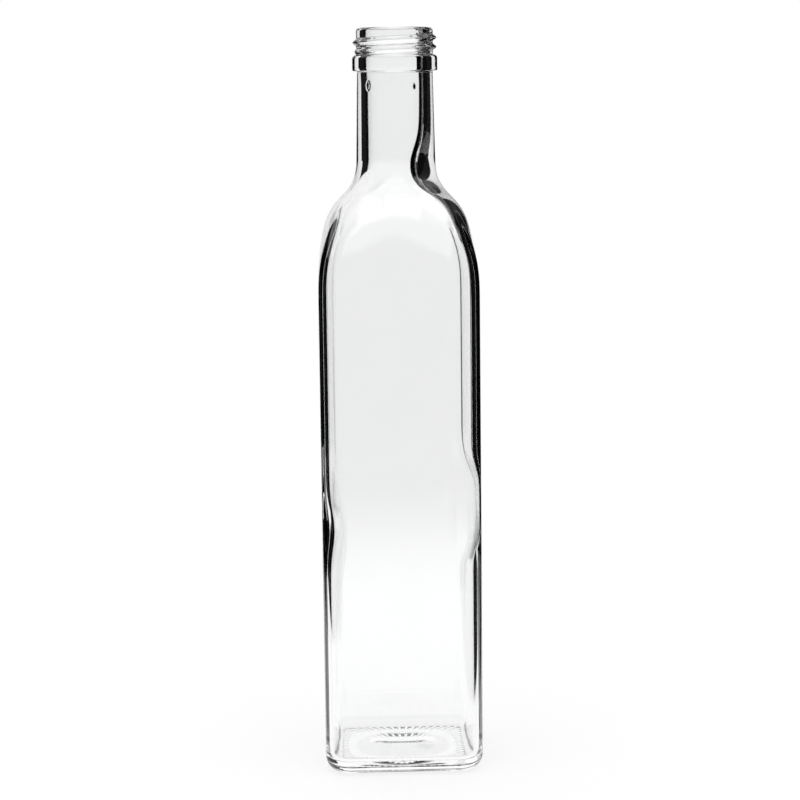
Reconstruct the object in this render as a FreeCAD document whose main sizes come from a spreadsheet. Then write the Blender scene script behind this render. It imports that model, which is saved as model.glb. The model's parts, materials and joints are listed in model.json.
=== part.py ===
"""A square oil bottle of clear glass with a round neck and an open screw finish.

The bottle is one moulded piece. Its wall is the space between two forms of the same kind, an
outer one and the hollow inside it. Each form is a rounded square prism, a shoulder that turns
the square into a circle, and a turned neck. Millimetres, +Z up, origin at the middle of the foot.
"""

import FreeCAD, Part
import math
import os

import Sketcher

SIZES = {
    # Body
    "body_width": 57.0,  # across the flat sides
    "corner_radius": 9.0,  # upright corners, seen from above
    "heel_radius": 5.5,  # rounding between the sides and the foot
    "body_height": 178.3,  # foot to where the sides start to lean in
    # Shoulder, along the middle of each side
    "flank_radius": 60.0,  # slow curve at the top of the sides
    "flank_turn": 17.0,  # degrees that the slow curve turns
    "shoulder_slope": 45.0,  # degrees from upright at the steepest ring, which is a circle
    "shoulder_fillet": 13.5,  # hollow curve from that ring up into the neck
    "shoulder_flat": 5.0,  # half width of each side's strip where it meets that ring
    # Neck and finish
    "finish_radius": 13.7,  # plain wall between the collar and the rim, which carries the thread
    "finish_height": 15.3,  # underside of the collar to the rim
    "finish_wall": 3.5,  # glass between that wall and the mouth
    "collar_height": 5.8,
    "collar_projection": 1.5,  # past the plain wall above it
    "collar_ledge": 0.1,  # flat left above the collar's rounded edge
    "lip_round": 1.3,  # outer edge of the rim
    "neck_length": 32.46,  # shoulder to collar
    "neck_relief": 0.2,  # how much smaller the neck is below the collar than the wall above it
    "neck_taper": 0.7,  # how much wider the neck gets from there down to the shoulder
    # Inside
    "wall": 2.8,  # flat sides
    "neck_wall": 4.6,  # neck, and the shoulder where it meets the neck
    "corner_inset": 2.0,  # how much smaller the upright corners are inside
    "base_thickness": 6.0,
    "floor_radius": 6.0,  # rounding between the inside walls and the floor
    "mouth_depth": 14.0,  # rim to the end of the straight mouth, where a stopper or pourer sits
    "mouth_taper": 8.0,  # length over which the mouth narrows to the neck
    "mouth_round": 1.0,  # inner edge of the rim
    # Foot
    "bearing_width": 5.5,  # flat ring that the bottle stands on, at the middle of each side
    "push_up_height": 2.4,  # shallow dome inside that ring
}

LEAD_IN = 3.0  # straight stretch at the start of the shoulder that keeps it in line with the sides
FLANK_STEPS = (0.0, 0.5, 1.0)  # rings along the slow curve, as shares of its turn
CROWN_STEPS = (0.25, 0.5, 0.75, 1.0)  # rings along the tighter curve above it
LARGEST_ROUND = 0.9  # a bottom rounding stays under this share of the upright corners it runs into
SAME_PLACE = 1e-4
CUBIC_MM_PER_ML = 1000

doc = FreeCAD.newDocument("OilBottle")
sheet = doc.addObject("Spreadsheet::Sheet", "Sizes")
for row, (alias, number) in enumerate(SIZES.items(), start=1):
    sheet.set(f"A{row}", alias)
    sheet.set(f"B{row}", str(number))
    sheet.setAlias(f"B{row}", alias)
doc.recompute()


def size(alias):
    """A size in the sheet, as it is written in a formula."""
    return f"Sizes.{alias}"


def value(formula):
    """What a formula comes to with the sizes in the sheet."""
    return float(sheet.evalExpression(formula))


# Formulas that several features share. Angles are counted from upright.

HALF_WIDTH = f"({size('body_width')} / 2)"
NECK_TOP_RADIUS = f"({size('finish_radius')} - {size('neck_relief')})"
NECK_RADIUS = f"({NECK_TOP_RADIUS} + {size('neck_taper')})"
NECK_BORE = f"({NECK_TOP_RADIUS} - {size('neck_wall')})"
MOUTH_RADIUS = f"({size('finish_radius')} - {size('finish_wall')})"
OUTER_CORNER = size("corner_radius")
INNER_CORNER = f"({size('corner_radius')} - {size('corner_inset')})"

FLANK_ANGLE = f"({size('flank_turn')} * 1 deg)"
SLOPE_ANGLE = f"({size('shoulder_slope')} * 1 deg)"
FLANK_DROP = f"({size('flank_radius')} * (1 - cos{FLANK_ANGLE}))"
FILLET_DROP = f"({size('shoulder_fillet')} * (1 - cos{SLOPE_ANGLE}))"
CROWN_DROP = f"({HALF_WIDTH} - {NECK_RADIUS} - {FLANK_DROP} - {FILLET_DROP})"
CROWN_RADIUS = f"({CROWN_DROP} / (cos{FLANK_ANGLE} - cos{SLOPE_ANGLE}))"


def flank_ring(share):
    """(angle, half width, height) of the outside at a ring on the shoulder's slow curve."""
    angle = f"({size('flank_turn')} * {share} * 1 deg)"
    half_width = f"({HALF_WIDTH} - {size('flank_radius')} * (1 - cos{angle}))"
    height = f"({size('body_height')} + {size('flank_radius')} * sin{angle})"
    return angle, half_width, height


def crown_ring(share):
    """(angle, half width, height) of the outside at a ring on the shoulder's tighter curve."""
    turn = f"({size('shoulder_slope')} - {size('flank_turn')})"
    angle = f"(({size('flank_turn')} + {turn} * {share}) * 1 deg)"
    half_width = f"({HALF_WIDTH} - {FLANK_DROP} - {CROWN_RADIUS} * (cos{FLANK_ANGLE} - cos{angle}))"
    flank_top = f"({size('body_height')} + {size('flank_radius')} * sin{FLANK_ANGLE})"
    height = f"({flank_top} + {CROWN_RADIUS} * (sin{angle} - sin{FLANK_ANGLE}))"
    return angle, half_width, height


def inside(ring):
    """The same ring on the inside of the glass, which thickens from the side wall to the neck wall."""
    angle, half_width, height = ring
    thickening = f"(({size('neck_wall')} - {size('wall')}) * {angle} / {SLOPE_ANGLE})"
    thickness = f"({size('wall')} + {thickening})"
    return angle, f"({half_width} - {thickness} * cos{angle})", f"({height} - {thickness} * sin{angle})"


OUTER_RINGS = [flank_ring(share) for share in FLANK_STEPS] + [crown_ring(share) for share in CROWN_STEPS]
INNER_RINGS = [inside(ring) for ring in OUTER_RINGS]

NECK_FOOT = f"({OUTER_RINGS[-1][2]} + {size('shoulder_fillet')} * sin{SLOPE_ANGLE})"
COLLAR_FOOT = f"({NECK_FOOT} + {size('neck_length')})"
COLLAR_TOP = f"({COLLAR_FOOT} + {size('collar_height')})"
RIM = f"({COLLAR_FOOT} + {size('finish_height')})"


# Sketches

def attached_sketch(body, name, role):
    """An empty sketch on one of a body's own origin planes."""
    sketch = body.newObject("Sketcher::SketchObject", name)
    plane = next(feature for feature in body.Origin.OriginFeatures if feature.Role == role)
    sketch.AttachmentSupport = [(plane, "")]
    sketch.MapMode = "FlatFace"
    return sketch


def bind(sketch, kind, *place, formula):
    """Adds a dimension to a sketch and ties it to a formula."""
    index = sketch.addConstraint(Sketcher.Constraint(kind, *place, value(formula)))
    sketch.setExpression(f"Constraints[{index}]", formula)


def arc_between(start, end, radius, turn):
    """The shorter arc from start to end. It curves left for a turn of 1 and right for -1."""
    chord = end - start
    left = FreeCAD.Vector(-chord.y, chord.x, 0).normalize()
    reach = math.sqrt(max(radius**2 - (chord.Length / 2) ** 2, 0))
    centre = (start + end) / 2 + left * (turn * reach)
    return Part.Arc(start, centre - left * (turn * radius), end)


def outline(sketch, corners, arcs):
    """A closed outline through corners, each an (x, y) pair of numbers.

    arcs maps the number of the corner where an arc starts to its (radius, turn), in numbers.
    Returns the (edge, point) of each corner, as a sketch counts them.
    """
    places = [FreeCAD.Vector(x, y, 0) for x, y in corners]
    edges = []
    for number, (start, end) in enumerate(zip(places, places[1:] + places[:1])):
        if number in arcs:
            shape = arc_between(start, end, *arcs[number])
        else:
            shape = Part.LineSegment(start, end)
        edge = sketch.addGeometry(shape, False)
        runs_forward = sketch.getPoint(edge, 1).isEqual(start, SAME_PLACE)
        edges.append((edge, 1, 2) if runs_forward else (edge, 2, 1))
    for (edge, _, last), (following, first, _) in zip(edges, edges[1:] + edges[:1]):
        sketch.addConstraint(Sketcher.Constraint("Coincident", edge, last, following, first))
    return [(edge, first) for edge, first, _ in edges]


def place_corner(sketch, corner, x, y):
    """Ties a corner of an outline to a place."""
    bind(sketch, "DistanceX", -1, 1, *corner, formula=x)
    bind(sketch, "DistanceY", -1, 1, *corner, formula=y)


def square_ring(body, name, height, half_width, flat_half, side_radius=None):
    """A square ring with round corners, seen from above. side_radius bows its sides out.

    A ring whose sides and corners come out at one radius is a circle in eight arcs.
    """
    sketch = attached_sketch(body, name, "XY_Plane")
    sketch.setExpression("AttachmentOffset.Base.z", height)
    if side_radius is None:
        flat_end = half_width
        corner_radius = f"({half_width} - {flat_half})"
    else:
        lean = f"asin({flat_half} / {side_radius})"
        flat_end = f"({half_width} - {side_radius} * (1 - cos({lean})))"
        corner_radius = f"(({flat_end} - {flat_half}) / (cos({lean}) - sin({lean})))"
    near = value(flat_half)
    far = value(flat_end)
    quarter = [(near, far), (far, near), (far, -near), (near, -far)]
    rounds = {0: corner_radius}
    if side_radius is not None:
        rounds[1] = side_radius
    arcs = {}
    for first, radius in rounds.items():
        for number in range(first, 2 * len(quarter), 2):
            arcs[number] = (value(radius), -1)
    corners = outline(sketch, quarter + [(-x, -y) for x, y in quarter], arcs)
    place_corner(sketch, corners[0], flat_half, flat_end)
    place_corner(sketch, corners[1], flat_end, flat_half)
    x_axis, y_axis = -1, -2
    for one, other, axis in (
        (1, 2, x_axis),
        (0, 3, x_axis),
        (3, 4, y_axis),
        (2, 5, y_axis),
        (1, 6, y_axis),
        (0, 7, y_axis),
    ):
        sketch.addConstraint(Sketcher.Constraint("Symmetric", *corners[one], *corners[other], axis))
    for first, radius in rounds.items():
        bind(sketch, "Radius", corners[first][0], formula=radius)
        for number in range(first + 2, len(corners), 2):
            sketch.addConstraint(Sketcher.Constraint("Equal", corners[first][0], corners[number][0]))
    return sketch


def profile(body, name, corners, arcs):
    """A closed outline beside the axis, from (radius, height) formulas. arcs is as in outline."""
    sketch = attached_sketch(body, name, "XZ_Plane")
    places = [(value(radius), value(height)) for radius, height in corners]
    turns = {number: (value(radius), turn) for number, (radius, turn) in arcs.items()}
    points = outline(sketch, places, turns)
    for point, (radius, height) in zip(points, corners):
        place_corner(sketch, point, radius, height)
    for number, (radius, _) in arcs.items():
        bind(sketch, "Radius", points[number][0], formula=radius)
    return sketch


# The outside of the bottle and the hollow inside it

def full_turn(body, kind, name, sketch):
    """A full turn of a profile about the bottle's axis, added or cut."""
    feature = body.newObject(f"PartDesign::{kind}", name)
    feature.Profile = sketch
    feature.ReferenceAxis = (sketch, ["V_Axis"])
    feature.Angle = 360


def square_form(name, bottom, corner, bottom_round, rings):
    """A body with the prism and the shoulder of the outside or of the hollow."""
    body = doc.addObject("PartDesign::Body", name)
    side = rings[0][1]
    flat = f"({side} - {corner})"
    shoulder_foot = f"({size('body_height')} - {LEAD_IN})"

    prism = body.newObject("PartDesign::Pad", f"{name}_prism")
    prism.Profile = square_ring(body, f"{name}_plan", bottom, side, flat)
    prism.setExpression("Length", f"{shoulder_foot} - {bottom}")
    doc.recompute()

    low = value(bottom) + SAME_PLACE
    bottom_edges = []
    for number, edge in enumerate(prism.Shape.Edges, start=1):
        if edge.BoundBox.ZMax < low:
            bottom_edges.append(f"Edge{number}")
    rounding = body.newObject("PartDesign::Fillet", f"{name}_bottom_round")
    rounding.Base = (prism, bottom_edges)
    rounding.setExpression("Radius", f"min({bottom_round}; {LARGEST_ROUND} * {corner})")

    _, top_radius, top = rings[-1]
    sections = [square_ring(body, f"{name}_shoulder_foot", shoulder_foot, side, flat)]
    sections.append(square_ring(body, f"{name}_ring_0", rings[0][2], side, flat))
    for number, (_, half_width, height) in enumerate(rings[1:], start=1):
        climb = f"(({height} - {size('body_height')}) / ({top} - {size('body_height')}))"
        strip = f"({flat} + ({size('shoulder_flat')} - {flat}) * {climb}^2)"
        side_radius = f"({top_radius} / {climb}^2)"
        ring = square_ring(body, f"{name}_ring_{number}", height, half_width, strip, side_radius)
        sections.append(ring)
    shoulder = body.newObject("PartDesign::AdditiveLoft", f"{name}_shoulder")
    shoulder.Profile = sections[0]
    shoulder.Sections = sections[1:]
    doc.recompute()
    return body


def outer_form():
    """The outside of the bottle, filled in, with its neck, collar, finish and domed foot."""
    body = square_form("outer_form", "0", OUTER_CORNER, size("heel_radius"), OUTER_RINGS)
    _, ring_radius, ring_height = OUTER_RINGS[-1]
    collar = f"({size('finish_radius')} + {size('collar_projection')})"
    collar_round = f"({size('collar_projection')} - {size('collar_ledge')})"
    neck = profile(
        body,
        "neck_profile",
        [
            ("0", ring_height),
            (ring_radius, ring_height),
            (NECK_RADIUS, NECK_FOOT),
            (NECK_TOP_RADIUS, COLLAR_FOOT),
            (collar, COLLAR_FOOT),
            (collar, f"({COLLAR_TOP} - {collar_round})"),
            (f"({collar} - {collar_round})", COLLAR_TOP),
            (size("finish_radius"), COLLAR_TOP),
            (size("finish_radius"), f"({RIM} - {size('lip_round')})"),
            (f"({size('finish_radius')} - {size('lip_round')})", RIM),
            ("0", RIM),
        ],
        {1: (size("shoulder_fillet"), -1), 5: (collar_round, 1), 8: (size("lip_round"), 1)},
    )
    full_turn(body, "Revolution", "neck_and_finish", neck)

    dome_width = f"({HALF_WIDTH} - {size('heel_radius')} - {size('bearing_width')})"
    dome_height = size("push_up_height")
    dome_radius = f"(({dome_width}^2 + {dome_height}^2) / (2 * {dome_height}))"
    dome = profile(
        body,
        "push_up_profile",
        [("0", "0"), (dome_width, "0"), ("0", dome_height)],
        {1: (dome_radius, 1)},
    )
    full_turn(body, "Groove", "push_up", dome)
    return body


def inner_form():
    """The hollow inside the glass, from the floor up through the neck and the mouth."""
    floor = size("base_thickness")
    body = square_form("inner_form", floor, INNER_CORNER, size("floor_radius"), INNER_RINGS)
    _, ring_radius, ring_height = INNER_RINGS[-1]
    throat_radius = f"(({ring_radius} - {NECK_BORE}) / (1 - cos{SLOPE_ANGLE}))"
    mouth_foot = f"({RIM} - {size('mouth_depth')})"
    bore = profile(
        body,
        "bore_profile",
        [
            ("0", ring_height),
            (ring_radius, ring_height),
            (NECK_BORE, f"({ring_height} + {throat_radius} * sin{SLOPE_ANGLE})"),
            (NECK_BORE, f"({mouth_foot} - {size('mouth_taper')})"),
            (MOUTH_RADIUS, mouth_foot),
            (MOUTH_RADIUS, f"({RIM} - {size('mouth_round')})"),
            (f"({MOUTH_RADIUS} + {size('mouth_round')})", RIM),
            ("0", RIM),
        ],
        {1: (throat_radius, -1), 5: (size("mouth_round"), -1)},
    )
    full_turn(body, "Revolution", "neck_bore", bore)
    return body


glass = doc.addObject("Part::Cut", "glass_bottle")
glass.Label = "glass_bottle"
glass.Base = outer_form()
glass.Tool = inner_form()
doc.recompute()

for item in doc.Objects:
    if "Invalid" in item.State or "Error" in item.State:
        raise RuntimeError(f"{item.Label} failed: {item.State}")
if glass.Shape.isNull() or not glass.Shape.isValid() or len(glass.Shape.Solids) != 1:
    raise RuntimeError(f"{glass.Label} is not one sound solid")

glass_ml = glass.Shape.Volume / CUBIC_MM_PER_ML
brimful_ml = glass.Tool.Shape.Volume / CUBIC_MM_PER_ML
print(f"height {value(RIM):.2f} mm, glass {glass_ml:.1f} ml, brimful {brimful_ml:.1f} ml")

os.makedirs("parts", exist_ok=True)
glass.Shape.exportStep(f"parts/{glass.Label}.step")
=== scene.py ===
"""A square oil bottle of clear glass on a plain pale floor, in soft studio light.

The glass is one closed skin of rings. They run from the middle of the foot up the outside, over
the rim and down the inside to the middle of the floor. The bottle's lengths are in millimetres,
and those of the studio round it in metres. +Z is up, +X is right, and the front faces -Y.
"""

import json
import math
from typing import NamedTuple

import bpy
import numpy as np
from mathutils import Matrix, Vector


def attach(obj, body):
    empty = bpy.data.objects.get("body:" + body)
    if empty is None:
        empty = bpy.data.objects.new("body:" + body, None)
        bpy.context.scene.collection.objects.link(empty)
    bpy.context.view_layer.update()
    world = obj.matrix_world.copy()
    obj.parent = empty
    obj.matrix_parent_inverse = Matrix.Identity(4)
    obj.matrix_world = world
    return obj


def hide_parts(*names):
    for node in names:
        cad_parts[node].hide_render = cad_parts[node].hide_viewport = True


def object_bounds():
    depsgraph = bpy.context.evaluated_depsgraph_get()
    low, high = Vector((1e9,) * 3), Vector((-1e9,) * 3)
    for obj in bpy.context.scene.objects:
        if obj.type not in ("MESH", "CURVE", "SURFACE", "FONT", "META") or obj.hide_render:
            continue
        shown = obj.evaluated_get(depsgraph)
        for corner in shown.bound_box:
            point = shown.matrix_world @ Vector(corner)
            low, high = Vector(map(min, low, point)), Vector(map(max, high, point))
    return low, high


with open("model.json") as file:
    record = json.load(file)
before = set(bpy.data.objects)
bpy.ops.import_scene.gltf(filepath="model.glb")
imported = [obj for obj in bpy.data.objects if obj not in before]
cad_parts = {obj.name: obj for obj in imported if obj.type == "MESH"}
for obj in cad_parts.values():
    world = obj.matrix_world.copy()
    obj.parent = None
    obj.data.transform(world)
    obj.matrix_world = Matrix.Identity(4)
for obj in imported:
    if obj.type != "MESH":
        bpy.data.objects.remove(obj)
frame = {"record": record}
cad_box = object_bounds()

MM = 0.001
QUARTER_TURN = math.pi / 2
FULL_TURN = 2 * math.pi

# Sizes that the CAD frame gives
mounts = {mount["name"]: mount["dims"] for mount in frame["record"]["mounts"]}
RIM = cad_box[1].z / MM
MOUTH_RADIUS = mounts["mouth"]["r_mm"]
COLLAR_RADIUS = mounts["cap_seat"]["r_mm"]

# Body
HALF_WIDTH = 28.5
CORNER = 9.45
HEEL = 5.5
BODY_TOP = 178.8
FLANK_RADIUS = 62.1
FLANK_TURN = math.radians(17)
SLOPE = math.radians(50)
SHOULDER_FILLET = 13.5
SHOULDER_FLAT = 4.15
OUTER_TURN = 3.13  # how late the shoulder turns round, outside and inside
INNER_TURN = 3.2
BLEND = 8.85  # reach of the soft start of the shoulder, up and down from its middle
BLEND_RISE = 0.5  # that middle, above the top of the body
SOFTENINGS = 6  # times that the shoulder's bends are eased out

# Neck and finish
FINISH_RADIUS = 13.7
COLLAR_FOOT = RIM - 15.3
COLLAR_TOP = COLLAR_FOOT + 5.8
COLLAR_UNDER_ROUND = 0.5
COLLAR_ROUND = 1.4
LIP_ROUND = 1.3
NECK_TOP_RADIUS = 13.5
NECK_RADIUS = 14.2

# Inside
WALL = 2.93
INNER_CORNER = 6.12
FLOOR = 4.5
FLOOR_ROUND = 3.0
MOUTH_FOOT = RIM - 14.0
BORE_TOP = MOUTH_FOOT - 8.0
BORE_RADIUS = 10.0
MOUTH_ROUND = 1.0

# Where the inside of the wall is uneven
HOLLOW_SHIFT = -0.08  # the hollow of the body sits a little to the left
HOLLOW_SHIFT_END = (190, 205)  # heights over which that ends
BORE_SHIFT = 0.18  # the bore of the neck sits a little to the right
BORE_SHIFT_START = (200, 214)
BORE_SHIFT_END = (244, 252)
RUN = 1.8  # thickness of the glass that ran down inside the neck
RUN_SIDE = -0.17  # radians from the right, towards the front
RUN_WIDTH = 0.9  # radians
RUN_MIDDLE = 214.5
RUN_REACH = 9.3
THIN_PLACE = 1.9  # glass missing low on the right
THIN_FOOT = (76, 88)  # heights over which that starts
THIN_TOP = (104, 118)  # and ends
THICK_PLACE = 1.1  # extra glass low on the left
THICK_MIDDLE = 89
THICK_REACH = 9

# Foot
BEARING = 5.5
PUSH_UP = 1.2

# Moulded detail
THREAD_HEIGHT = 1.2
THREAD_HALF_WIDTH = 1.35
THREAD_PITCH = 3.28
THREAD_START = math.radians(172)  # turned from the right, as seen from above
THREAD_END = math.radians(765)
THREAD_START_HEIGHT = RIM - 8.6
THREAD_FADE = math.radians(28)
LUG_RISE = 0.5
# Each lug's side in degrees, half width, half height and height on the bottle
LUGS = ((224.5, 1.0, 1.7, 245.7), (299.6, 0.7, 1.0, 245.4))
STIPPLE_BARS = 64
STIPPLE_DEPTH = 0.6
STIPPLE_INNER_EDGE = (19.8, 20.3)  # half widths over which the bars start
STIPPLE_OUTER_EDGE = (22.0, 22.7)  # and end

COLUMNS = 320  # points round each ring, five for each bar of the stipple
STRAIGHT = 1e6  # a side that bows out with this radius is flat


class Ring(NamedTuple):
    """A level ring of the skin: a rounded square, a circle, or something between them."""

    half_width: float  # at the middle of a side
    height: float
    flat: float  # half the length of a side, between the corners
    bow: float  # radius that the sides bow out with


def square(half_width, height, corner):
    return Ring(half_width, height, half_width - corner, STRAIGHT)


def circle(radius, height):
    return Ring(radius, height, radius * math.sin(math.pi / 8), radius)


def turning(half_width, height, square_flat, circle_radius, turned):
    """A ring that has turned from a rounded square, 0, to a circle, 1."""
    bow = min(circle_radius / max(turned, 1e-5), STRAIGHT)
    return Ring(half_width, height, square_flat + (SHOULDER_FLAT - square_flat) * turned, bow)


def plan(ring):
    """x, y and the direction that the skin faces, round a ring, evenly spaced along it."""
    lean = math.asin(ring.flat / ring.bow)
    flat_end = ring.half_width - ring.bow * (1 - math.cos(lean))
    corner = (flat_end - ring.flat) / (math.cos(lean) - math.sin(lean))
    centre = ring.flat - corner * math.sin(lean)
    side_length = ring.bow * lean
    quarter_length = 2 * side_length + corner * (QUARTER_TURN - 2 * lean)

    quarter = np.arange(COLUMNS) * 4 / COLUMNS
    turned = np.floor(quarter)
    along = (quarter - turned) * quarter_length
    left = quarter_length - along
    first = along < side_length
    last = left < side_length
    facing = lean + (along - side_length) / corner
    facing = np.where(first, along / ring.bow, np.where(last, QUARTER_TURN - left / ring.bow, facing))
    radius = np.where(first | last, ring.bow, corner)
    out = np.where(first, ring.half_width - ring.bow, np.where(last, 0, centre)) + radius * np.cos(facing)
    side = np.where(last, ring.half_width - ring.bow, np.where(first, 0, centre)) + radius * np.sin(facing)
    turned = turned * QUARTER_TURN
    x = out * np.cos(turned) - side * np.sin(turned)
    y = out * np.sin(turned) + side * np.cos(turned)
    return x, y, facing + turned


def steps(start, end, count):
    """count even steps from start to end, without start itself."""
    return [start + (end - start) * number / count for number in range(1, count + 1)]


def bell(distance, reach):
    return np.exp(-((distance / reach) ** 2))


def ease(value, low, high):
    """0 below low, 1 above high, and a smooth rise between them."""
    share = np.clip((value - low) / (high - low), 0, 1)
    return share * share * (3 - 2 * share)


def turn_between(facing, side):
    """How far a direction is from side, from minus half a turn to half a turn."""
    return (facing - side + math.pi) % FULL_TURN - math.pi


# The shoulder's outline along the middle of a side

FLANK_TOP = BODY_TOP + FLANK_RADIUS * math.sin(FLANK_TURN)
FLANK_DROP = FLANK_RADIUS * (1 - math.cos(FLANK_TURN))
FILLET_DROP = SHOULDER_FILLET * (1 - math.cos(SLOPE))
CROWN_DROP = HALF_WIDTH - NECK_RADIUS - FLANK_DROP - FILLET_DROP
CROWN_RADIUS = CROWN_DROP / (math.cos(FLANK_TURN) - math.cos(SLOPE))
RING_RADIUS = NECK_RADIUS + FILLET_DROP
RING_HEIGHT = FLANK_TOP + CROWN_RADIUS * (math.sin(SLOPE) - math.sin(FLANK_TURN))
NECK_FOOT = RING_HEIGHT + SHOULDER_FILLET * math.sin(SLOPE)
SHOULDER_FOOT = BODY_TOP + BLEND_RISE - BLEND


def flank(height):
    """(half width, lean) of a side that starts to lean in softly."""
    rise = height - BODY_TOP - BLEND_RISE
    if rise < BLEND:
        drop = (rise + BLEND) ** 3 / (12 * BLEND * FLANK_RADIUS)
        return HALF_WIDTH - drop, (rise + BLEND) ** 2 / (4 * BLEND * FLANK_RADIUS)
    return HALF_WIDTH - (rise**2 + BLEND**2 / 3) / (2 * FLANK_RADIUS), rise / FLANK_RADIUS


def shoulder_outline():
    """(half width, height, lean) from the foot of the shoulder to the ring where it is round."""
    outline = []
    for height in steps(SHOULDER_FOOT, FLANK_TOP, 16):
        half_width, lean = flank(height)
        outline.append((half_width, height, lean))
    for lean in steps(FLANK_TURN, SLOPE, 12):
        half_width = HALF_WIDTH - FLANK_DROP - CROWN_RADIUS * (math.cos(FLANK_TURN) - math.cos(lean))
        height = FLANK_TOP + CROWN_RADIUS * (math.sin(lean) - math.sin(FLANK_TURN))
        outline.append((half_width, height, lean))
    return outline


def inward(half_width, height, lean):
    """The place on the inside of the glass."""
    return half_width - WALL * math.cos(lean), height - WALL * math.sin(lean)


def climbed(height, late):
    """How far the shoulder has turned from a square at its foot, 0, to a circle at its ring, 1."""
    return ((height - SHOULDER_FOOT) / (RING_HEIGHT - SHOULDER_FOOT)) ** late


INNER_RING_RADIUS, INNER_RING_HEIGHT = inward(RING_RADIUS, RING_HEIGHT, SLOPE)
THROAT_RADIUS = (INNER_RING_RADIUS - BORE_RADIUS) / (1 - math.cos(SLOPE))
THROAT_TOP = INNER_RING_HEIGHT + THROAT_RADIUS * math.sin(SLOPE)


def softened(rings):
    """The same rings with the bends between them eased out. The first and last ones stay."""
    for _ in range(SOFTENINGS):
        eased = [rings[0]]
        for below, ring, above in zip(rings, rings[1:], rings[2:]):
            half_width = (below.half_width + 2 * ring.half_width + above.half_width) / 4
            height = (below.height + 2 * ring.height + above.height) / 4
            scale = half_width / ring.half_width
            eased.append(Ring(half_width, height, ring.flat * scale, ring.bow * scale))
        rings = [*eased, rings[-1]]
    return rings


# Rings of the outside, from the middle of the foot to the rim


def foot_rings():
    """The domed middle of the foot, the flat ring that it stands on, and the heel."""
    edge = HALF_WIDTH - HEEL - BEARING
    rings = []
    for radius in steps(0, edge, 10):
        rings.append(circle(radius, PUSH_UP * (1 + math.cos(math.pi * radius / edge)) / 2))
    for share in steps(0, 1, 12):
        rings.append(turning(edge + BEARING * share, 0, HALF_WIDTH - CORNER, edge, (1 - share) ** 2))
    for angle in steps(0, QUARTER_TURN, 12):
        reach = HEEL * (1 - math.sin(angle))
        rings.append(square(HALF_WIDTH - reach, HEEL * (1 - math.cos(angle)), CORNER - reach))
    return rings


def side_rings():
    return [square(HALF_WIDTH, height, CORNER) for height in steps(HEEL, SHOULDER_FOOT, 8)]


def shoulder_rings():
    flat = HALF_WIDTH - CORNER
    rings = []
    for half_width, height, _ in shoulder_outline():
        turned = climbed(height, OUTER_TURN)
        rings.append(turning(half_width, height, flat, RING_RADIUS, turned))
    for angle in steps(SLOPE, 0, 10):
        radius = NECK_RADIUS + SHOULDER_FILLET * (1 - math.cos(angle))
        rings.append(circle(radius, NECK_FOOT - SHOULDER_FILLET * math.sin(angle)))
    return softened(rings)


def neck_rings():
    lugs_from = COLLAR_FOOT - 8.5
    plain_part = steps(NECK_FOOT, lugs_from, 6)
    lug_part = steps(lugs_from, COLLAR_FOOT - COLLAR_UNDER_ROUND, 24)
    rings = []
    for height in plain_part + lug_part:
        share = (height - NECK_FOOT) / (COLLAR_FOOT - NECK_FOOT)
        rings.append(circle(NECK_RADIUS + (NECK_TOP_RADIUS - NECK_RADIUS) * share, height))
    return rings


def collar_rings():
    under = COLLAR_UNDER_ROUND
    rings = []
    for angle in steps(0, QUARTER_TURN, 3):
        radius = NECK_TOP_RADIUS + under * (1 - math.cos(angle))
        rings.append(circle(radius, COLLAR_FOOT - under * (1 - math.sin(angle))))
    for angle in steps(0, QUARTER_TURN, 4):
        radius = COLLAR_RADIUS - under * (1 - math.sin(angle))
        rings.append(circle(radius, COLLAR_FOOT + under * (1 - math.cos(angle))))
    for height in steps(COLLAR_FOOT + under, COLLAR_TOP - COLLAR_ROUND, 3):
        rings.append(circle(COLLAR_RADIUS, height))
    for angle in steps(0, QUARTER_TURN, 7):
        radius = COLLAR_RADIUS - COLLAR_ROUND * (1 - math.cos(angle))
        rings.append(circle(radius, COLLAR_TOP - COLLAR_ROUND * (1 - math.sin(angle))))
    return rings


def finish_rings():
    rings = [circle(FINISH_RADIUS, height) for height in steps(COLLAR_TOP, RIM - LIP_ROUND, 44)]
    for angle in steps(0, QUARTER_TURN, 6):
        radius = FINISH_RADIUS - LIP_ROUND * (1 - math.cos(angle))
        rings.append(circle(radius, RIM - LIP_ROUND * (1 - math.sin(angle))))
    return rings


# Rings of the inside, from the rim to the middle of the floor


def bore_rings():
    rings = []
    for angle in steps(QUARTER_TURN, 0, 6):
        radius = MOUTH_RADIUS + MOUTH_ROUND * (1 - math.cos(angle))
        rings.append(circle(radius, RIM - MOUTH_ROUND * (1 - math.sin(angle))))
    for height in steps(RIM - MOUTH_ROUND, MOUTH_FOOT, 5):
        rings.append(circle(MOUTH_RADIUS, height))
    for share in steps(0, 1, 5):
        radius = MOUTH_RADIUS + (BORE_RADIUS - MOUTH_RADIUS) * share
        rings.append(circle(radius, MOUTH_FOOT + (BORE_TOP - MOUTH_FOOT) * share))
    for height in steps(BORE_TOP, THROAT_TOP, 12):
        rings.append(circle(BORE_RADIUS, height))
    return rings


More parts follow.
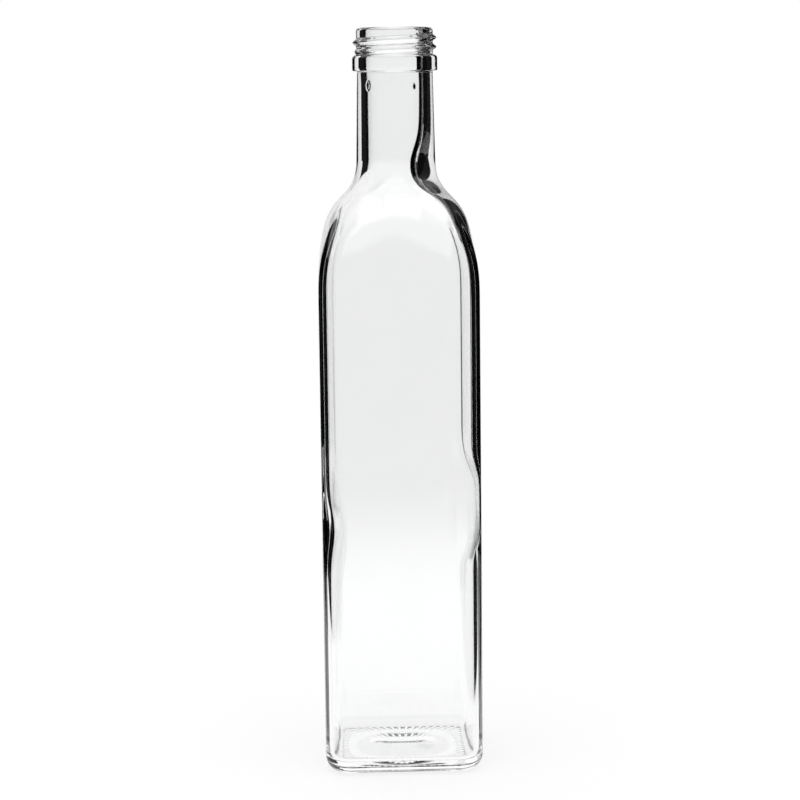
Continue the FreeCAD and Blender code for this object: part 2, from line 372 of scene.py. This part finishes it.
def hollow_rings():
    side = HALF_WIDTH - WALL
    flat = side - INNER_CORNER
    rings = []
    for angle in steps(0, SLOPE, 14):
        radius = BORE_RADIUS + THROAT_RADIUS * (1 - math.cos(angle))
        rings.append(circle(radius, THROAT_TOP - THROAT_RADIUS * math.sin(angle)))
    for place in reversed(shoulder_outline()):
        half_width, height = inward(*place)
        turned = climbed(place[1], INNER_TURN)
        rings.append(turning(half_width, height, flat, INNER_RING_RADIUS, turned))
    rings = softened(rings)
    for height in steps(SHOULDER_FOOT, FLOOR + FLOOR_ROUND, 44):
        rings.append(square(side, height, INNER_CORNER))
    for angle in steps(0, QUARTER_TURN, 10):
        reach = FLOOR_ROUND * (1 - math.cos(angle))
        height = FLOOR + FLOOR_ROUND * (1 - math.sin(angle))
        rings.append(square(side - reach, height, INNER_CORNER - reach))
    for share in steps(1, 0.05, 8):
        rings.append(square((side - FLOOR_ROUND) * share, FLOOR, (INNER_CORNER - FLOOR_ROUND) * share))
    return rings


# Moulded detail and unevenness, as (outward offset, rise) round a ring


def stipple(ring, facing):
    """Short bars across the ring that the bottle stands on, with sunken gaps between them."""
    if ring.height > 0:
        return 0, 0
    track = ease(ring.half_width, *STIPPLE_INNER_EDGE) * (1 - ease(ring.half_width, *STIPPLE_OUTER_EDGE))
    gaps = (np.arange(COLUMNS) * STIPPLE_BARS / COLUMNS) % 1 >= 0.5
    return 0, STIPPLE_DEPTH * track * gaps


def thread(ring, facing):
    """The right-handed bead that a cap screws onto."""
    raised = np.zeros(COLUMNS)
    for turn in range(3):
        angle = facing % FULL_TURN + turn * FULL_TURN
        height = THREAD_START_HEIGHT + THREAD_PITCH * (angle - THREAD_START) / FULL_TURN
        fade = ease(angle, THREAD_START, THREAD_START + THREAD_FADE)
        fade = fade * (1 - ease(angle, THREAD_END - THREAD_FADE, THREAD_END))
        share = np.clip(1 - ((ring.height - height) / THREAD_HALF_WIDTH) ** 2, 0, 1)
        raised = np.maximum(raised, THREAD_HEIGHT * fade * share**1.5)
    return raised, 0


def lugs(ring, facing):
    """Two small marks that the mould leaves on the neck."""
    raised = 0
    for side, width, tall, height in LUGS:
        across = turn_between(facing, math.radians(side)) * ring.half_width
        distance = np.sqrt((across / width) ** 2 + ((ring.height - height) / tall) ** 2)
        raised = raised + LUG_RISE * (1 - ease(distance, 0.6, 1.1))
    return raised, 0


def uneven(ring, facing):
    """The wall's thickness wanders, as it does where glass cools in a mould."""
    height = ring.height
    to_right = np.maximum(np.cos(facing), 0)
    to_left = np.maximum(-np.cos(facing), 0)
    in_body = 1 - ease(height, *HOLLOW_SHIFT_END)
    in_neck = ease(height, *BORE_SHIFT_START) * (1 - ease(height, *BORE_SHIFT_END))
    shift = (HOLLOW_SHIFT * in_body + BORE_SHIFT * in_neck) * np.cos(facing)
    run = RUN * bell(turn_between(facing, RUN_SIDE), RUN_WIDTH) * bell(height - RUN_MIDDLE, RUN_REACH)
    thin = THIN_PLACE * to_right * ease(height, *THIN_FOOT) * (1 - ease(height, *THIN_TOP))
    thick = THICK_PLACE * to_left * bell(height - THICK_MIDDLE, THICK_REACH)
    return shift - run + thin - thick, 0


def plain(ring, facing):
    """No relief."""
    return 0, 0


SKIN = (
    (foot_rings, stipple),
    (side_rings, plain),
    (shoulder_rings, plain),
    (neck_rings, lugs),
    (collar_rings, plain),
    (finish_rings, thread),
    (bore_rings, uneven),
    (hollow_rings, uneven),
)


def skin(name):
    """The closed mesh of the glass."""
    levels = []
    for rings, relief in SKIN:
        for ring in rings():
            x, y, facing = plan(ring)
            offset, rise = relief(ring, facing)
            x = x + offset * np.cos(facing)
            y = y + offset * np.sin(facing)
            z = np.full(COLUMNS, ring.height) + rise
            levels.append(np.column_stack((x, y, z)))
    foot_middle = (0, 0, PUSH_UP)
    floor_middle = (0, 0, FLOOR)
    points = np.vstack([foot_middle, *levels, floor_middle]) * MM

    column = np.arange(COLUMNS)
    after = (column + 1) % COLUMNS
    faces = [(0, 1 + b, 1 + a) for a, b in zip(column, after)]
    for number in range(len(levels) - 1):
        low = 1 + number * COLUMNS
        high = low + COLUMNS
        faces.extend(zip(low + column, low + after, high + after, high + column))
    top = 1 + (len(levels) - 1) * COLUMNS
    faces.extend((top + a, top + b, len(points) - 1) for a, b in zip(column, after))

    mesh = bpy.data.meshes.new(name)
    mesh.from_pydata(points.tolist(), [], [[int(v) for v in face] for face in faces])
    mesh.shade_smooth()
    obj = bpy.data.objects.new(name, mesh)
    bpy.context.collection.objects.link(obj)
    return obj


# Node helpers


def calculate(tree, operation, *sources):
    """The result of a Math node, whose sources are numbers or sockets."""
    node = tree.nodes.new("ShaderNodeMath")
    node.operation = operation
    for socket, source in zip(node.inputs, sources):
        if isinstance(source, (int, float)):
            socket.default_value = source
        else:
            tree.links.new(source, socket)
    return node.outputs[0]


def smooth_step(tree, source, low, high):
    """0 below low, 1 above high, smooth between. A low above high turns it round."""
    node = tree.nodes.new("ShaderNodeMapRange")
    node.interpolation_type = "SMOOTHSTEP"
    tree.links.new(source, node.inputs["Value"])
    flipped = low > high
    node.inputs["From Min"].default_value = min(low, high)
    node.inputs["From Max"].default_value = max(low, high)
    node.inputs["To Min"].default_value = 1.0 if flipped else 0.0
    node.inputs["To Max"].default_value = 0.0 if flipped else 1.0
    return node.outputs["Result"]


def split(tree, coordinate):
    """x, y and z of one of the texture coordinates."""
    source = tree.nodes.new("ShaderNodeTexCoord").outputs[coordinate]
    node = tree.nodes.new("ShaderNodeSeparateXYZ")
    tree.links.new(source, node.inputs[0])
    return node.outputs[0], node.outputs[1], node.outputs[2]


def reflected(tree):
    """1 for light that has been reflected inside or on the glass, 0 for light straight through it."""
    path = tree.nodes.new("ShaderNodeLightPath")
    return calculate(tree, "GREATER_THAN", path.outputs["Glossy Depth"], 0.5)


def fading(tree, source, free):
    """Less of the studio's light for each time that it has been reflected, after the free ones."""
    depth = tree.nodes.new("ShaderNodeLightPath").outputs["Glossy Depth"]
    times = calculate(tree, "MAXIMUM", calculate(tree, "DIVIDE", depth, free), 1.0)
    return calculate(tree, "DIVIDE", source, calculate(tree, "MULTIPLY", times, times))


def camera_ray(tree):
    return tree.nodes.new("ShaderNodeLightPath").outputs["Is Camera Ray"]


def choose(tree, factor, at_zero, at_one):
    """at_zero where the factor is 0, at_one where it is 1."""
    node = tree.nodes.new("ShaderNodeMix")
    tree.links.new(factor, node.inputs["Factor"])
    for name, source in (("A", at_zero), ("B", at_one)):
        if isinstance(source, (int, float)):
            node.inputs[name].default_value = source
        else:
            tree.links.new(source, node.inputs[name])
    return node.outputs["Result"]


# Materials


def noise(tree, scale, detail):
    node = tree.nodes.new("ShaderNodeTexNoise")
    node.inputs["Scale"].default_value = scale
    node.inputs["Detail"].default_value = detail
    tree.links.new(tree.nodes.new("ShaderNodeTexCoord").outputs["Object"], node.inputs["Vector"])
    return node.outputs["Fac"]


def glass_material():
    """Clear glass with a faint, uneven tint and the slight waves that a mould leaves."""
    material = bpy.data.materials.new("clear_glass")
    material.use_nodes = True
    tree = material.node_tree
    shader = tree.nodes["Principled BSDF"]
    shader.inputs["IOR"].default_value = 1.52
    shader.inputs["Transmission Weight"].default_value = 1.0

    tint = tree.nodes.new("ShaderNodeValToRGB")
    tint.color_ramp.elements[0].color = (0.984, 0.991, 0.988, 1)
    tint.color_ramp.elements[1].color = (0.996, 0.998, 0.997, 1)
    tree.links.new(noise(tree, 40, 2), tint.inputs["Fac"])
    tree.links.new(tint.outputs["Color"], shader.inputs["Base Color"])

    polish = calculate(tree, "MULTIPLY", noise(tree, 120, 3), 0.004)
    tree.links.new(polish, shader.inputs["Roughness"])

    waves = tree.nodes.new("ShaderNodeBump")
    waves.inputs["Strength"].default_value = 0.25
    waves.inputs["Distance"].default_value = 0.0002
    tree.links.new(noise(tree, 35, 1), waves.inputs["Height"])
    tree.links.new(waves.outputs["Normal"], shader.inputs["Normal"])
    return material


# The studio, in metres and degrees. The camera, and light straight through the glass, meet white, apart
# from the cards. Light that the glass reflects meets a dark room with a white paper sweep in it.
DARK = 0.004  # strength of the dark room
SWEEP_LEFT = -0.208  # sides of the paper
SWEEP_RIGHT = 0.114
SWEEP_FRONT = -0.4
SWEEP_BACK = 0.45  # where the paper rises behind the bottle
STRAIGHT_CARDS = ((19.5, 41, -15, 28), (40, 82, -5.5, 28))  # left, right, low and high edge
REFLECTED_CARDS = ((-26, -18, -14, 2.6),)
LEFT_TOP = (18.5, 21.5)  # the light over the room starts here
RIGHT_TOP = (33, 37)
GLOW = 0.1  # how much brighter the white behind the bottle is above the floor
FLOOR_RADIUS = 0.65
OWN_LIGHT = 0.8  # share of the floor's white near the bottle that shadows leave alone
FLOOR_FREE = 7  # reflections before the light of the floor, and of the room, fades
ROOM_FREE = 1


def inside_sweep(tree, across, soft):
    """1 between the paper's two sides, 0 beyond them."""
    past_left = smooth_step(tree, across, SWEEP_LEFT - soft, SWEEP_LEFT + soft)
    short_of_right = smooth_step(tree, across, SWEEP_RIGHT + soft, SWEEP_RIGHT - soft)
    return calculate(tree, "MULTIPLY", past_left, short_of_right)


def between(tree, source, low, high, soft):
    """1 from low to high, 0 beyond them, with soft edges."""
    rise = smooth_step(tree, source, low - soft, low + soft)
    return calculate(tree, "MULTIPLY", rise, smooth_step(tree, source, high + soft, high - soft))


def level(degrees):
    """z of a direction that climbs by so many degrees."""
    return math.sin(math.radians(degrees))


def dark_cards(tree, x, y, z, cards):
    """1 on the dark cards beside the paper. Each has its sides and its heights in degrees."""
    sideways = calculate(tree, "ARCTAN2", x, y)
    seen = 0.0
    for left, right, low, high in cards:
        across = between(tree, sideways, math.radians(left), math.radians(right), 0.01)
        upright = between(tree, z, level(low), level(high), 0.012)
        seen = calculate(tree, "MAXIMUM", seen, calculate(tree, "MULTIPLY", across, upright))
    return seen


def floor_material():
    """White with a soft shadow near the bottle, and the paper in the dark room for reflections."""
    material = bpy.data.materials.new("pale_floor")
    material.use_nodes = True
    tree = material.node_tree
    lit = tree.nodes["Principled BSDF"]
    lit.inputs["Base Color"].default_value = (0.9, 0.9, 0.9, 1)
    lit.inputs["Roughness"].default_value = 0.9
    lit.inputs["Specular IOR Level"].default_value = 0.0

    x, y, _ = split(tree, "Object")
    x_squared = calculate(tree, "MULTIPLY", x, x)
    y_squared = calculate(tree, "MULTIPLY", y, y)
    distance = calculate(tree, "SQRT", calculate(tree, "ADD", x_squared, y_squared))
    far = smooth_step(tree, distance, 0.3, 0.6)
    own_light = calculate(tree, "ADD", OWN_LIGHT, calculate(tree, "MULTIPLY", 1 - OWN_LIGHT, far))
    white = tree.nodes.new("ShaderNodeEmission")
    near_to_far = tree.nodes.new("ShaderNodeMixShader")
    tree.links.new(own_light, near_to_far.inputs[0])
    tree.links.new(lit.outputs[0], near_to_far.inputs[1])
    tree.links.new(white.outputs[0], near_to_far.inputs[2])

    widening = calculate(tree, "MAXIMUM", calculate(tree, "DIVIDE", y, SWEEP_BACK), 1.0)
    across = calculate(tree, "DIVIDE", x, widening)
    past_front = smooth_step(tree, y, SWEEP_FRONT - 0.1, SWEEP_FRONT + 0.1)
    paper = calculate(tree, "MULTIPLY", inside_sweep(tree, across, 0.012), past_front)
    strength = fading(tree, calculate(tree, "MAXIMUM", paper, DARK), FLOOR_FREE)
    studio = tree.nodes.new("ShaderNodeEmission")
    tree.links.new(strength, studio.inputs["Strength"])

    seen = tree.nodes.new("ShaderNodeMixShader")
    tree.links.new(reflected(tree), seen.inputs[0])
    tree.links.new(near_to_far.outputs[0], seen.inputs[1])
    tree.links.new(studio.outputs[0], seen.inputs[2])
    tree.links.new(seen.outputs[0], tree.nodes["Material Output"].inputs["Surface"])
    return material


def floor():
    bpy.ops.mesh.primitive_circle_add(vertices=96, radius=FLOOR_RADIUS, fill_type="NGON")
    obj = bpy.context.object
    obj.name = "floor"
    obj.data.materials.append(floor_material())


def studio_world():
    """White for the camera, white with cards through the glass, and the dark room for reflections."""
    world = bpy.data.worlds.new("studio")
    bpy.context.scene.world = world
    world.use_nodes = True
    tree = world.node_tree
    x, y, z = split(tree, "Generated")
    behind = smooth_step(tree, y, 0.0, 0.2)
    forward = calculate(tree, "MAXIMUM", y, 0.01)
    across = calculate(tree, "MULTIPLY", calculate(tree, "DIVIDE", x, forward), SWEEP_BACK)
    backdrop = calculate(tree, "MULTIPLY", inside_sweep(tree, across, 0.015), behind)
    to_left = smooth_step(tree, x, 0.1, -0.1)
    left_rise = smooth_step(tree, z, level(LEFT_TOP[0]), level(LEFT_TOP[1]))
    left_top = calculate(tree, "MULTIPLY", to_left, left_rise)
    right_top = smooth_step(tree, z, level(RIGHT_TOP[0]), level(RIGHT_TOP[1]))
    top = calculate(tree, "MULTIPLY", calculate(tree, "MAXIMUM", left_top, right_top), behind)
    bare = calculate(tree, "SUBTRACT", 1.0, dark_cards(tree, x, y, z, REFLECTED_CARDS))
    paper = calculate(tree, "MULTIPLY", backdrop, bare)
    bright = calculate(tree, "MAXIMUM", paper, top)
    studio = fading(tree, calculate(tree, "MAXIMUM", bright, DARK), ROOM_FREE)

    above_floor = smooth_step(tree, z, -0.06, 0.1)
    glow = calculate(tree, "ADD", 1.0, calculate(tree, "MULTIPLY", GLOW, above_floor))
    bare = calculate(tree, "SUBTRACT", 1.0, dark_cards(tree, x, y, z, STRAIGHT_CARDS))
    through = calculate(tree, "MULTIPLY", glow, bare)
    beyond_camera = choose(tree, reflected(tree), through, studio)
    seen = choose(tree, camera_ray(tree), beyond_camera, 1.0)
    tree.links.new(seen, tree.nodes["Background"].inputs["Strength"])
    tree.nodes["Background"].inputs["Color"].default_value = (1, 1, 1, 1)


def softbox(name, centre, width, depth, radiance):
    lamp = bpy.data.lights.new(name, "AREA")
    lamp.shape = "RECTANGLE"
    lamp.size = width
    lamp.size_y = depth
    lamp.energy = radiance * math.pi * width * depth
    obj = bpy.data.objects.new(name, lamp)
    obj.location = centre
    bpy.context.collection.objects.link(obj)


# Camera and picture


def camera():
    """The photo's camera, in front of the bottle, nearly as high as its rim and tilted down."""
    data = bpy.data.cameras.new("camera")
    data.sensor_width = 36
    data.lens = 100.2
    obj = bpy.data.objects.new("camera", data)
    bpy.context.collection.objects.link(obj)
    bpy.context.scene.camera = obj
    turn = math.radians(-1.9)
    distance = 800 * MM
    height = 252 * MM
    pitch = math.radians(8.5)
    yaw = math.radians(-0.036)
    roll = math.radians(-0.68)
    place = Matrix.Rotation(turn, 4, "Z") @ Matrix.Translation((0, -distance, height))
    aim = Matrix.Rotation(yaw, 4, "Z") @ Matrix.Rotation(QUARTER_TURN - pitch, 4, "X")
    obj.matrix_world = place @ aim @ Matrix.Rotation(roll, 4, "Z")


def picture_settings():
    """Plain tones, and enough bounces for light that runs on inside the glass."""
    scene = bpy.context.scene
    scene.view_settings.view_transform = "Standard"
    scene.cycles.max_bounces = 32
    scene.cycles.transmission_bounces = 24
    scene.cycles.glossy_bounces = 24


bottle = skin("glass")
bottle.data.materials.append(glass_material())
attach(bottle, "root")
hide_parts("glass_bottle")

floor()
studio_world()
softbox("softbox", centre=(-0.09, -0.35, 1.2), width=1.1, depth=0.8, radiance=1.0)
camera()
picture_settings()
